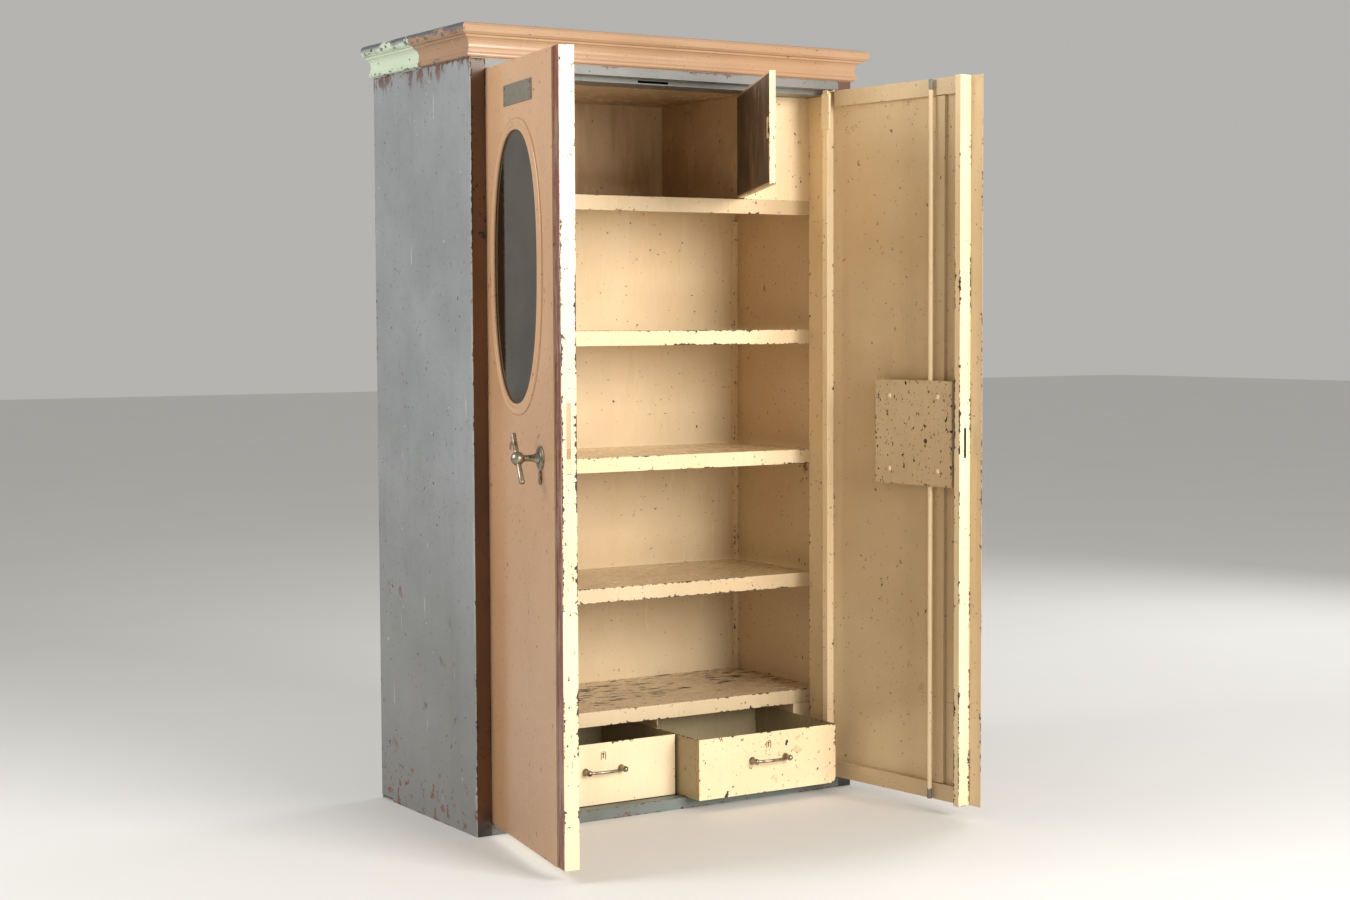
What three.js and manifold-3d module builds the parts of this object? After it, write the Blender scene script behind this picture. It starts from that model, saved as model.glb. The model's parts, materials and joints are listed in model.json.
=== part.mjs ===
// A painted sheet-steel cupboard: two tray doors, an oval mirror, a locker, shelves and two drawers.
// Millimetres. +X is the right-hand side, +Y is the back, +Z is up.
// The origin is the middle of the bottom panel's underside, on the floor.
import * as THREE from 'three';
import { mergeVertices } from 'three/addons/utils/BufferGeometryUtils.js';
import Module from 'manifold-3d';

const wasm = await Module();
wasm.setup();

// ---------------------------------------------------------------- driving dimensions
const BODY = { width: 1076, depth: 528, height: 1800 };
const SHEET = 1.2;               // panel thickness
const GAP = 0.3;                 // between pieces that touch
const POST = 38;                 // width of a front post's face
const RECESS = 128;              // front plane to the shelf fronts
const CORNICE = { height: 80, sheet: 2 };
const DOOR = { bottom: 30, top: 1776, thick: 38, gap: 3, axisInset: 7 };
const LAP = 35;                  // the right door's lip over the left door's rebate
const REBATE = 3;                // how far the rebate is set back
const OPEN = { left: 100, right: 97, locker: 63.5 };   // degrees, as modelled
const DRAWER_OUT = { left: 86, right: 188 };
const HANDLE = { left: 388, right: 360, z: 905, tilt: 30 };   // spindles, from the hinge edges and the floor
const ROD = { u: 367, y: 24, radius: 6, wall: 1, tip: 40 };
const MIRROR = { u: 230, z: 1319, halfWidth: 154, halfHeight: 302, power: 2.35, border: 26 };
const SHELF_TOPS = { lower: 543, middle: 864, upper: 1174 };
const DECK_TOP = 238;
const SHELF_LIP = 36;
const LOCKER = { floor: 1505, ceiling: 1768, half: 300 };
const DRAWERS = { bottom: 28.5, top: 178, left: [-379, 31], right: [37, 447] };

const FRONT = -BODY.depth / 2;
const BACK = BODY.depth / 2;
const HALF = BODY.width / 2;
const INNER = HALF - POST;       // half the width of the door opening
const SHELF_FRONT = FRONT + RECESS;
const BACK_FACE = BACK - SHEET - GAP;
const SIDE_FACE = HALF - SHEET - GAP;

// ---------------------------------------------------------------- materials
function paint(color, roughness = 0.38, metalness = 0.0) {
  return new THREE.MeshStandardMaterial({ color, roughness, metalness });
}
const GREY = paint(0x7f8488);
const TAN = paint(0xc79a74);
const CREAM = paint(0xe9d2a6);
const BROWN = paint(0x7a5236);
const DARK = paint(0x3c2f27, 0.6);
const STEEL = paint(0x9a948a, 0.35, 0.9);
const GLASS = paint(0x5b6468, 0.06, 0.8);
const STRIP = paint(0x55605c, 0.5);

// ---------------------------------------------------------------- geometry helpers
const object = new THREE.Group();

function place(name, geometry, material, parent = object) {
  const mesh = new THREE.Mesh(geometry, material);
  mesh.name = name;
  parent.add(mesh);
  return mesh;
}

function block(x, y, z) {
  const [x0, x1] = [Math.min(...x), Math.max(...x)];
  const geometry = new THREE.BoxGeometry(x1 - x0, y[1] - y[0], z[1] - z[0]);
  return geometry.translate((x0 + x1) / 2, (y[0] + y[1]) / 2, (z[0] + z[1]) / 2);
}

function solid(geometry) {
  const bare = geometry.clone();
  bare.deleteAttribute('normal');
  bare.deleteAttribute('uv');
  const merged = mergeVertices(bare, 1e-4);
  return new wasm.Manifold(new wasm.Mesh({
    numProp: 3,
    vertProperties: new Float32Array(merged.attributes.position.array),
    triVerts: new Uint32Array(merged.index.array),
  }));
}

function geometryOf(manifold) {
  const mesh = manifold.getMesh();
  const geometry = new THREE.BufferGeometry();
  const points = new Float32Array(mesh.vertProperties);
  geometry.setAttribute('position', new THREE.BufferAttribute(points, 3));
  geometry.setIndex(new THREE.BufferAttribute(new Uint32Array(mesh.triVerts), 1));
  geometry.computeVertexNormals();
  return geometry;
}

function join(...parts) {
  return geometryOf(parts.map(solid).reduce((sum, part) => sum.add(part)));
}

function cut(base, ...tools) {
  return geometryOf(tools.map(solid).reduce((rest, tool) => rest.subtract(tool), solid(base)));
}

// A round bar between two points.
function bar(from, to, radius, endRadius = radius, sides = 16) {
  const start = new THREE.Vector3(...from);
  const along = new THREE.Vector3(...to).sub(start);
  const geometry = new THREE.CylinderGeometry(endRadius, radius, along.length(), sides);
  geometry.translate(0, along.length() / 2, 0);
  const turn = new THREE.Quaternion().setFromUnitVectors(new THREE.Vector3(0, 1, 0), along.normalize());
  return geometry.applyQuaternion(turn).translate(...from);
}

function ball(centre, radius, detail = 12) {
  return new THREE.SphereGeometry(radius, detail * 2, detail).translate(...centre);
}

// A flat outline in the X-Z plane, thickened from y0 to y1.
function plate(points, y0, y1) {
  const shape = new THREE.Shape(points.map(([x, z]) => new THREE.Vector2(x, z)));
  const geometry = new THREE.ExtrudeGeometry(shape, { depth: y1 - y0, bevelEnabled: false });
  return geometry.rotateX(Math.PI / 2).translate(0, y1, 0);
}

// The mirror's rounded oval: |x/a|^n + |z/b|^n = 1.
function oval(centreX, centreZ, a, b, count = 72) {
  const points = [];
  for (let i = 0; i < count; i += 1) {
    const angle = (2 * Math.PI * i) / count;
    const [c, s] = [Math.cos(angle), Math.sin(angle)];
    const x = Math.sign(c) * Math.abs(c) ** (2 / MIRROR.power);
    const z = Math.sign(s) * Math.abs(s) ** (2 / MIRROR.power);
    points.push([centreX + a * x, centreZ + b * z]);
  }
  return points;
}

// ---------------------------------------------------------------- carcass
function buildCarcass() {
  const notch = { length: 60, height: 8 };     // raised rear corner of each side panel
  for (const [side, sign] of [['left', -1], ['right', 1]]) {
    const sheet = block([sign * (HALF - SHEET), sign * HALF], [FRONT, BACK], [0, BODY.height]);
    const across = [sign * (HALF - 5), sign * (HALF + 5)];
    const corner = BACK - notch.length;
    place(`side_panel_${side}`, cut(sheet,
      block(across, [corner, BACK + 5], [-5, notch.height]),
      bar([across[0], corner, 0], [across[1], corner, 0], notch.height)), GREY);

    // Post: the narrow front face and the deep jamb that the shelves stop against.
    const face = block([sign * SIDE_FACE, sign * INNER], [FRONT, FRONT + SHEET], [GAP, BODY.height]);
    const jamb = block([sign * (INNER + SHEET), sign * INNER], [FRONT, SHELF_FRONT - GAP],
      [GAP, BODY.height]);
    place(`front_post_${side}`, join(face, jamb), side === 'left' ? BROWN : TAN);
  }
  place('back_panel', block([-SIDE_FACE, SIDE_FACE], [BACK - SHEET, BACK], [GAP, BODY.height]), CREAM);
  place('top_panel', block([-SIDE_FACE, SIDE_FACE], [FRONT + SHEET + GAP, BACK_FACE],
    [BODY.height + GAP, BODY.height + GAP + SHEET]), GREY);
  place('bottom_panel', block([-INNER + GAP, INNER - GAP], [FRONT + 40, BACK_FACE], [0, SHEET]), CREAM);
}

// Moulding as [outward, height] pairs from the body's face and its top edge.
function cornicePoints() {
  const outer = [[0.3, 0.3], [0.3, 2.5]];
  const arcs = [
    { centre: [6, 8], radius: 6, from: -90, to: 60 },       // lower bead
    { centre: [28, 27], radius: 21, from: 200, to: 112 },   // hollow
    { centre: [21, 64], radius: 14, from: -90, to: 80 },    // top bullnose
  ];
  for (const arc of arcs) {
    const steps = 6;
    for (let i = 0; i <= steps; i += 1) {
      const angle = THREE.MathUtils.degToRad(arc.from + ((arc.to - arc.from) * i) / steps);
      const [out, up] = arc.centre;
      outer.push([out + arc.radius * Math.cos(angle), up + arc.radius * Math.sin(angle)]);
    }
  }
  outer.push([8, CORNICE.height], [-10, CORNICE.height]);
  const inner = [[-10, CORNICE.height - CORNICE.sheet], [-CORNICE.sheet, CORNICE.height - CORNICE.sheet],
    [-CORNICE.sheet, 2.2]];
  return outer.concat(inner);
}

function buildCornice() {
  const profile = cornicePoints();
  const shape = new THREE.Shape(profile.map(([out, up]) => new THREE.Vector2(out, up)));
  // Each length is a straight extrusion whose ends are then moved onto the mitre planes.
  function length(kind) {
    const geometry = new THREE.ExtrudeGeometry(shape, { depth: 1, bevelEnabled: false });
    const position = geometry.attributes.position;
    for (let i = 0; i < position.count; i += 1) {
      const [out, up, along] = [position.getX(i), position.getY(i), position.getZ(i)];
      const z = BODY.height + up;
      if (kind === 'front') {
        const reach = HALF + out - GAP / 2;
        position.setXYZ(i, along > 0.5 ? -reach : reach, FRONT - out, z);
      } else {
        const sign = kind === 'left' ? -1 : 1;
        const frontEnd = FRONT - out + GAP / 2;
        const atFront = (along > 0.5) === (kind === 'right');
        position.setXYZ(i, sign * (HALF + out), atFront ? frontEnd : BACK, z);
      }
    }
    return geometryOf(solid(geometry));
  }
  place('cornice_front', length('front'), TAN);
  place('cornice_left', length('left'), TAN);
  place('cornice_right', length('right'), TAN);
}

function buildRails() {
  const faceBottom = DOOR.top + DOOR.gap;
  const stopFront = FRONT + DOOR.thick + 4;
  const hingeX = INNER - DOOR.gap - DOOR.axisInset;
  const hingeY = FRONT + DOOR.axisInset;
  const pinHoles = (z0, z1) => [-hingeX, hingeX].map((x) => bar([x, hingeY, z0], [x, hingeY, z1], 4.6));
  const reach = INNER - GAP;
  const header = join(
    block([-reach, reach], [FRONT, FRONT + SHEET], [faceBottom, BODY.height]),
    block([-reach, reach], [FRONT, stopFront + SHEET], [faceBottom, faceBottom + SHEET]),
    block([-reach, reach], [stopFront, stopFront + SHEET], [LOCKER.ceiling, faceBottom + SHEET]),
    block([-reach, reach], [stopFront, SHELF_FRONT - GAP], [LOCKER.ceiling, LOCKER.ceiling + SHEET]),
  );
  const rodX = INNER - DOOR.gap - ROD.u;
  const slotX = [rodX - 16, rodX + 16];
  const slotY = [FRONT + 14, FRONT + 34];
  const headerSlot = block(slotX, slotY, [faceBottom - 5, faceBottom + 5]);
  const keeperSlot = block([-66, 20], [stopFront - 5, stopFront + 5], [LOCKER.ceiling + 3, faceBottom - 2]);
  place('header_rail',
    cut(header, headerSlot, keeperSlot, ...pinHoles(faceBottom - 5, faceBottom + 8)), GREY);

  const sillTop = DOOR.bottom - DOOR.gap;
  const threshold = join(
    block([-reach, reach], [FRONT, FRONT + SHEET], [0, sillTop]),
    block([-reach, reach], [FRONT, FRONT + DOOR.thick], [sillTop - SHEET, sillTop]),
    block([-reach, reach], [FRONT + DOOR.thick - SHEET, FRONT + DOOR.thick], [12, sillTop]),
    block([-reach, reach], [FRONT + DOOR.thick - SHEET, SHELF_FRONT + 20], [12, 12 + SHEET]),
  );
  const sillSlot = block(slotX, slotY, [sillTop - 5, sillTop + 5]);
  place('threshold_rail', cut(threshold, sillSlot, ...pinHoles(sillTop - 8, sillTop + 5)), STRIP);
}

// A sheet shelf: flat top, front lip turned down and a small return. Loose shelves leave room for
// the standards; fixed decks run to the side and back panels.
function shelf(top, fixed = false) {
  const reach = fixed ? SIDE_FACE : SIDE_FACE - 14;
  const back = fixed ? BACK_FACE : BACK_FACE - 13;
  const foot = top - SHELF_LIP;
  return join(
    block([-reach, reach], [SHELF_FRONT, back], [top - SHEET, top]),
    block([-reach, reach], [SHELF_FRONT, SHELF_FRONT + SHEET], [foot, top]),
    block([-reach, reach], [SHELF_FRONT, SHELF_FRONT + 14], [foot, foot + SHEET]),
  );
}

function buildShelves() {
  for (const [level, top] of Object.entries(SHELF_TOPS)) {
    place(`shelf_${level}`, shelf(top), CREAM);
  }
  place('drawer_deck', shelf(DECK_TOP, true), CREAM);
  place('locker_floor', shelf(LOCKER.floor, true), CREAM);

  // Slotted strips that carry the shelves.
  const bottom = DECK_TOP + GAP;
  const top = LOCKER.floor - SHELF_LIP - GAP;
  const pitch = 101.6;
  for (const [side, sign] of [['left', -1], ['right', 1]]) {
    const outer = sign * SIDE_FACE;
    const strips = {
      rear: block([outer, outer - sign * 13], [BACK_FACE - 12, BACK_FACE], [bottom, top]),
      front: block([outer, outer - sign * 13], [SHELF_FRONT + 16, SHELF_FRONT + 28], [bottom, top]),
    };
    for (const [where, strip] of Object.entries(strips)) {
      const y = where === 'rear' ? BACK_FACE - 12 : SHELF_FRONT + 16;
      const slots = [];
      for (let z = bottom + 60; z < top - 20; z += pitch) {
        slots.push(block([outer - sign * 8, outer - sign * 20], [y - 5, y + 5], [z, z + 14]));
      }
      place(`shelf_standard_${where}_${side}`, cut(strip, ...slots), CREAM);
    }
  }
}

function buildDrawerBay() {
  const top = DECK_TOP - SHELF_LIP - GAP;
  const z = [SHEET + GAP, top];
  const y = [SHELF_FRONT + 2, BACK_FACE];
  // Each filler closes the space beside a drawer: a front face and a wall running back.
  function filler(side, drawerEdge) {
    const sign = side === 'left' ? -1 : 1;
    const wall = drawerEdge + sign * 3;
    return join(
      block([wall, sign * (INNER + 20)], [SHELF_FRONT + 2, SHELF_FRONT + 2 + SHEET], [14, top]),
      block([wall, wall + sign * SHEET], y, [14, top]),
    );
  }
  place('drawer_filler_left', filler('left', DRAWERS.left[0]), CREAM);
  place('drawer_filler_right', filler('right', DRAWERS.right[1]), CREAM);
  const middle = (DRAWERS.left[1] + DRAWERS.right[0]) / 2;
  place('drawer_divider', block([middle - 0.6, middle + 0.6], [y[0], y[1]], [14, z[1]]), CREAM);
}

function buildLocker() {
  const { floor, ceiling, half } = LOCKER;
  place('locker_ceiling', block([-SIDE_FACE, SIDE_FACE], [SHELF_FRONT, BACK_FACE],
    [ceiling, ceiling + SHEET]), CREAM);
  const z = [floor + GAP, ceiling - GAP];
  for (const [side, sign] of [['left', -1], ['right', 1]]) {
    place(`locker_wall_${side}`, block([sign * (half + 1), sign * (half + 1 + SHEET)],
      [SHELF_FRONT + SHEET + GAP, BACK_FACE], z), CREAM);
    place(`locker_front_${side}`, block([sign * half, sign * SIDE_FACE],
      [SHELF_FRONT, SHELF_FRONT + SHEET], z), CREAM);
  }
}

// ---------------------------------------------------------------- doors
// Door pieces are drawn closed, in a group on the hinge axis. u runs from the hinge edge to the
// free edge, y from the outer face inwards; sign is -1 for the left door and +1 for the right.
function doorFrame(sign, degrees) {
  const group = new THREE.Group();
  const x = sign * (INNER - DOOR.gap - DOOR.axisInset);
  group.position.set(x, FRONT + DOOR.axisInset, 0);
  group.rotation.z = sign * THREE.MathUtils.degToRad(degrees);
  object.add(group);
  const across = (u) => -sign * (u - DOOR.axisInset);
  const deep = (y) => y - DOOR.axisInset;
  return {
    group,
    across,
    deep,
    panel: (u, y, z) => block(u.map(across), y.map(deep), z),
    point: (u, y, z) => [across(u), deep(y), z],
  };
}

const RETURN = 17;               // the inner returns round a door's tray
const LEFT_WIDTH = INNER - DOOR.gap + LAP / 2;
const RIGHT_BOX = INNER - DOOR.gap - LAP / 2 - 2;

function trayParts(door, width, name, material) {
  const { panel, point } = door;
  const inner = DOOR.thick;
  const z = [DOOR.bottom, DOOR.top];
  const skinBack = name === 'left' ? SHEET + REBATE : SHEET;
  const hingeBox = { width: 28, depth: 5 };     // cover over each pivot
  const hingeStile = join(
    panel([0, SHEET], [SHEET + GAP, inner], z),
    panel([0, RETURN], [inner - SHEET, inner], z),
    panel([0, 16], [SHEET + GAP, 16], [DOOR.top - 3, DOOR.top]),
    panel([0, 16], [SHEET + GAP, 16], [DOOR.bottom, DOOR.bottom + 3]),
    bar(point(DOOR.axisInset, DOOR.axisInset, DOOR.top - 2),
      point(DOOR.axisInset, DOOR.axisInset, DOOR.top + 9), 4),
    bar(point(DOOR.axisInset, DOOR.axisInset, DOOR.bottom + 2),
      point(DOOR.axisInset, DOOR.axisInset, DOOR.bottom - 9), 4),
    ...[[DOOR.top - 98, DOOR.top - 10], [DOOR.bottom + 10, DOOR.bottom + 98]]
      .map((span) => panel([SHEET, hingeBox.width], [inner - SHEET, inner + hingeBox.depth], span)),
  );
  place(`${name}_door_hinge_stile`, hingeStile, material, door.group);

  const freeStile = join(
    panel([width - SHEET, width], [skinBack + GAP, inner], z),
    panel([width - RETURN, width], [inner - SHEET, inner], z),
  );
  const slot = name === 'left'
    ? panel([width - 5, width + 5], [15, 25], [HANDLE.z - 29, HANDLE.z + 122])
    : panel([width - 5, width + 5], [15, 23], [HANDLE.z - 36, HANDLE.z + 36]);
  place(`${name}_door_lock_stile`, cut(freeStile, slot), material, door.group);

  // Rails: a channel across the top and bottom, with clearance for the lock rods.
  const railFrom = 17.5;
  const railTo = width - RETURN - 0.5;
  for (const [where, edge, into] of [['top', DOOR.top, -1], ['bottom', DOOR.bottom, 1]]) {
    const zEdge = [edge, edge + into * SHEET].sort((a, b) => a - b);
    const zFace = [edge, edge + into * 40].sort((a, b) => a - b);
    const zFoot = [edge + into * 40, edge + into * (40 - SHEET)].sort((a, b) => a - b);
    const rail = join(
      panel([railFrom, railTo], [skinBack + GAP, 14], zEdge),
      panel([railFrom, railTo], [12.8, 14], zFace),
      panel([railFrom, railTo], [skinBack + GAP, 14], zFoot),
    );
    place(`${name}_door_${where}_rail`, rail, material, door.group);
  }
}

// A T-handle: neck, ball and cross bar outside, spindle and cam inside.
function tHandle(door, u, camSide) {
  const { point } = door;
  const { z } = HANDLE;
  const tilt = THREE.MathUtils.degToRad(HANDLE.tilt);
  const half = 60;
  const stand = -52;
  const [du, dz] = [Math.sin(tilt) * half, -Math.cos(tilt) * half];
  const parts = [
    bar(point(u, -6.3, z), point(u, -22, z), 12, 8),
    bar(point(u, -20, z), point(u, stand, z), 8, 7.5),
    ball(point(u, stand, z), 15.5, 8),
    bar(point(u - du, stand, z - dz), point(u + du, stand, z + dz), 6),
    bar(point(u, -7, z), point(u, 31, z), 5),
    bar(point(u, 17, z), point(u, 21, z), camSide, camSide, 24),
  ];
  return join(...parts);
}

function rosette(door, u) {
  const { point } = door;
  const { z } = HANDLE;
  const flange = bar(point(u, -GAP, z), point(u, -6, z), 26, 22, 32);
  return cut(flange, bar(point(u, 2, z), point(u, -10, z), 5.8, 5.8, 24));
}

function buildLeftDoor() {
  const door = doorFrame(-1, OPEN.left);
  const { panel, point, across, deep, group } = door;
  const z = [DOOR.bottom, DOOR.top];
  const faceEnd = LEFT_WIDTH - LAP - 1.5;
  const sheet = join(
    panel([0, faceEnd], [0, SHEET], z),
    panel([faceEnd - SHEET, faceEnd], [0, REBATE + SHEET], z),
    panel([faceEnd - SHEET, LEFT_WIDTH], [REBATE, REBATE + SHEET], z),
  );
  const ovalAt = (grow, y0, y1) => plate(
    oval(across(MIRROR.u), MIRROR.z, MIRROR.halfWidth + grow, MIRROR.halfHeight + grow), deep(y0), deep(y1));
  const u = HANDLE.left;
  const spindleHole = bar(point(u, -5, HANDLE.z), point(u, 10, HANDLE.z), 5.8, 5.8, 24);
  place('left_door_skin', cut(sheet, ovalAt(4, -5, 5), spindleHole), TAN, group);
  trayParts(door, LEFT_WIDTH, 'left', CREAM);

  place('mirror_frame', cut(ovalAt(MIRROR.border, -5, -GAP), ovalAt(0, -10, 5)), TAN, group);
  place('mirror_glass', ovalAt(2, GAP, 4.3), GLASS, group);
  place('mirror_backing', ovalAt(16, 4.6, 6), CREAM, group);

  const plateZ = 1701;
  place('nameplate', join(
    panel([151, 346], [-1.8, -GAP], [plateZ - 23, plateZ + 23]),
    bar(point(162, -1, plateZ), point(162, -3.2, plateZ), 4, 3, 12),
    bar(point(335, -1, plateZ), point(335, -3.2, plateZ), 4, 3, 12),
  ), STEEL, group);
  place('left_handle_rosette', rosette(door, u), STEEL, group);
  place('left_t_handle', tHandle(door, u, 12), STEEL, group);

  // Key cover: a drop-shaped flap hanging from a pin under the rosette.
  const coverZ = HANDLE.z - 34;
  place('left_key_cover', join(
    bar(point(u, -1, coverZ), point(u, -3, coverZ), 6, 6, 16),
    bar(point(u, -1, coverZ - 16), point(u, -3, coverZ - 16), 8.5, 8.5, 20),
    panel([u - 6, u + 6], [-3, -1], [coverZ - 16, coverZ]),
    ball(point(u, -3, coverZ), 2.4, 6),
  ), STEEL, group);
}

function buildRightDoor() {
  const door = doorFrame(1, OPEN.right);
  const { panel, point, group } = door;
  const z = [DOOR.bottom, DOOR.top];
  const spindleHole = bar(point(HANDLE.right, -5, HANDLE.z), point(HANDLE.right, 10, HANDLE.z), 5.8, 5.8, 24);
  place('right_door_skin', cut(panel([0, RIGHT_BOX + 2 + LAP], [0, SHEET], z), spindleHole), TAN, group);
  trayParts(door, RIGHT_BOX, 'right', CREAM);

  // A stiffening channel spot-welded to the inside of the skin.
  const channel = { u: [370, 400], y: [SHEET + GAP, 11], z: [DOOR.bottom + 42, DOOR.top - 42] };
  place('right_door_channel', join(
    panel([channel.u[0], channel.u[0] + SHEET], channel.y, channel.z),
    panel(channel.u, [channel.y[1] - SHEET, channel.y[1]], channel.z),
    panel([channel.u[1] - SHEET, channel.u[1]], channel.y, channel.z),
  ), CREAM, group);

  // Lock cover: a square pan over the works, riveted at its corners, open where the latch comes out.
  const box = { u: [185, 447], y: [11.5, 34], z: [HANDLE.z - 109, HANDLE.z + 147] };
  const rivets = { u: [236, 400], z: [box.z[0] + 38, box.z[1] - 39] };
  const latchZ = [HANDLE.z - 32, HANDLE.z + 32];
  const inset = (pair, by) => [pair[0] + by, pair[1] - by];
  const pan = join(
    cut(panel(box.u, box.y, box.z), panel(inset(box.u, SHEET), [8, box.y[1] - SHEET], inset(box.z, SHEET))),
    ...rivets.u.flatMap((u) => rivets.z.map((z0) => bar(point(u, 33.5, z0), point(u, 37, z0), 6.5, 4, 16))),
  );
  place('lock_cover', cut(pan,
    bar(point(ROD.u, ROD.y, box.z[0] - 5), point(ROD.u, ROD.y, box.z[1] + 5), ROD.radius + 0.8),
    panel([box.u[1] - 5, box.u[1] + 5], [15, 23], [latchZ[0] - 1, latchZ[1] + 1]),
    bar(point(HANDLE.right, 25, HANDLE.z), point(HANDLE.right, 40, HANDLE.z), 6, 6, 24)), CREAM, group);

  place('right_handle_rosette', rosette(door, HANDLE.right), STEEL, group);
  place('right_t_handle', tHandle(door, HANDLE.right, 24), STEEL, group);

  // Lock rods: tubes with a solid tip, ending at the crank inside the cover.
  for (const [name, near, end, into] of [
    ['upper_rod', HANDLE.z + 60, DOOR.top - 2, -1],
    ['lower_rod', HANDLE.z - 60, DOOR.bottom + 2, 1],
  ]) {
    const at = (z0) => point(ROD.u, ROD.y, z0);
    place(name, cut(bar(at(near), at(end), ROD.radius),
      bar(at(near + into * 5), at(end + into * ROD.tip), ROD.radius - ROD.wall)), STEEL, group);
  }
  place('latch_bolt', panel([box.u[1] - 27, RIGHT_BOX - 0.5], [16, 22], latchZ), STEEL, group);
}

// ---------------------------------------------------------------- locker door
function buildLockerDoor() {
  const { floor, ceiling, half } = LOCKER;
  const inset = 5;
  const gap = 3;
  const thick = 14;
  const group = new THREE.Group();
  group.position.set(half - gap - inset, SHELF_FRONT + inset, 0);
  group.rotation.z = THREE.MathUtils.degToRad(OPEN.locker);
  object.add(group);
  const width = 2 * (half - gap);
  const u = (v) => inset - v;
  const z = [floor + gap, ceiling - gap];
  const shell = cut(block([u(0), u(width)], [-inset, thick - inset], z),
    block([u(SHEET), u(width - SHEET)], [SHEET - inset, thick - inset + 5], [z[0] + SHEET, z[1] - SHEET]));
  place('locker_door', shell, CREAM, group);
  place('locker_door_liner', block([u(SHEET + GAP), u(width - SHEET - GAP)],
    [thick - inset - SHEET, thick - inset], [z[0] + SHEET + GAP, z[1] - SHEET - GAP]), DARK, group);
  const mid = (floor + ceiling) / 2;
  place('locker_lock_plate', block([u(width - 26), u(width - 8)],
    [thick - inset + GAP, thick - inset + 3], [mid - 24, mid + 24]), CREAM, group);
}

// ---------------------------------------------------------------- drawers
function buildDrawers() {
  const depth = 360;
  for (const side of ['left', 'right']) {
    const [x0, x1] = DRAWERS[side];
    const front = SHELF_FRONT - DRAWER_OUT[side];
    const group = new THREE.Group();
    group.position.set((x0 + x1) / 2, front, 0);
    object.add(group);
    const half = (x1 - x0) / 2;
    const outer = block([-half, half], [0, depth], [DRAWERS.bottom, DRAWERS.top]);
    const hollow = block([-half + SHEET, half - SHEET], [SHEET * 2, depth - SHEET],
      [DRAWERS.bottom + SHEET, DRAWERS.top + 10]);
    const keyhole = join(
      bar([0, -5, DRAWERS.top - 27], [0, 8, DRAWERS.top - 27], 3, 3, 12),
      block([-1.5, 1.5], [-5, 8], [DRAWERS.top - 38, DRAWERS.top - 27]),
    );
    place(`drawer_${side}`, cut(cut(outer, hollow), keyhole), CREAM, group);

    // Bail pull: two bosses and a bowed bar.
    const z = DRAWERS.bottom + 83;
    const reach = 50;
    const steps = 6;
    const bow = [];
    for (let i = 0; i < steps; i += 1) {
      const at = (k) => -reach + (2 * reach * k) / steps;
      const out = (k) => -20 - 8 * Math.sin((Math.PI * k) / steps);
      bow.push(bar([at(i), out(i), z], [at(i + 1), out(i + 1), z], 3.6, 3.6, 8));
      bow.push(ball([at(i + 1), out(i + 1), z], 3.6, 4));
    }
    const bosses = [-reach, reach].flatMap((x) => [
      bar([x, -GAP, z], [x, -20, z], 9, 5, 12),
      ball([x, -20, z], 7.5, 6),
    ]);
    place(`drawer_handle_${side}`, join(...bow, ...bosses), STEEL, group);
  }
}

buildCarcass();
buildCornice();
buildRails();
buildShelves();
buildDrawerBay();
buildLocker();
buildLeftDoor();
buildRightDoor();
buildLockerDoor();
buildDrawers();

export default object;
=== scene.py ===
"""Looks for the painted steel cupboard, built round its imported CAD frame."""

import json
import math

import bmesh
import bpy
from mathutils import Matrix, Vector


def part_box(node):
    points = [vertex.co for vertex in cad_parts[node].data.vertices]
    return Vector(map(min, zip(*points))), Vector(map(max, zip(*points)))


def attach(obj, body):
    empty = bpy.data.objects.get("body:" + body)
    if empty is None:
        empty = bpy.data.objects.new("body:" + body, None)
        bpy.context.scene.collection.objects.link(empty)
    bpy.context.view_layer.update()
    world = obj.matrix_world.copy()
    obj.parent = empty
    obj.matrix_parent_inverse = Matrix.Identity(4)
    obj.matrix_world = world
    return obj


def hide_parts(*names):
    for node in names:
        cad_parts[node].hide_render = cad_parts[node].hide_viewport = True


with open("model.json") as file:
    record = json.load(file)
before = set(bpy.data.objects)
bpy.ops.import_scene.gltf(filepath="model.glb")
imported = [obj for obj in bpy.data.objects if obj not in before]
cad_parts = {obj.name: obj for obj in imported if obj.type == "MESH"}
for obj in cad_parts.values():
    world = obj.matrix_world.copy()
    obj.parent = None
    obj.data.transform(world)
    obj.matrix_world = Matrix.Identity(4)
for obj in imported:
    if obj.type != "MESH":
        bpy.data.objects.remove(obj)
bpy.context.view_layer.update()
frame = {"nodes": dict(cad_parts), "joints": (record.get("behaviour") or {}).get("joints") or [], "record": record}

MM = 0.001
NODES = frame["nodes"]
RECORD = frame["record"]
JOINTS = {joint["name"]: joint for joint in frame["joints"]}
BODY_OF = {node: body for body, nodes in RECORD["behaviour"]["bodies"].items() for node in nodes}
SLOT_OF = {part["node"]: part["material_slot"] for part in RECORD["subparts"]}

# The doors, in millimetres: u from the hinge edge, y inwards from the outer face, z from the floor.
AXIS_INSET = 7
DOOR_BOTTOM = 30
DOOR_TOP = 1776
HANDLE_U = {"left": 388, "right": 360}
HANDLE_Z = 905
HANDLE_TILT = 30
CAM_RADIUS = {"left": 12, "right": 24}
MIRROR = {"u": 230, "z": 1319, "half_width": 154, "half_height": 302, "power": 2.35}
RAIL_INNER_Y = 14
LOCK_COVER_Y = 34
LOCK_COVER_RIVETS = [(u, z) for u in (236, 400) for z in (834, 1013)]

# Planes, in metres, where a mesh changes colour: each lies within a sheet or just behind its face.
SIDE_SHEET_X = 0.5374
BACK_SHEET_Y = 0.2634
POST_SHEET_Y = -0.2625
SKIN_Y = (0.7 - AXIS_INSET) * MM
DRAWER_FACE_DEPTH = 1.9 * MM
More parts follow.
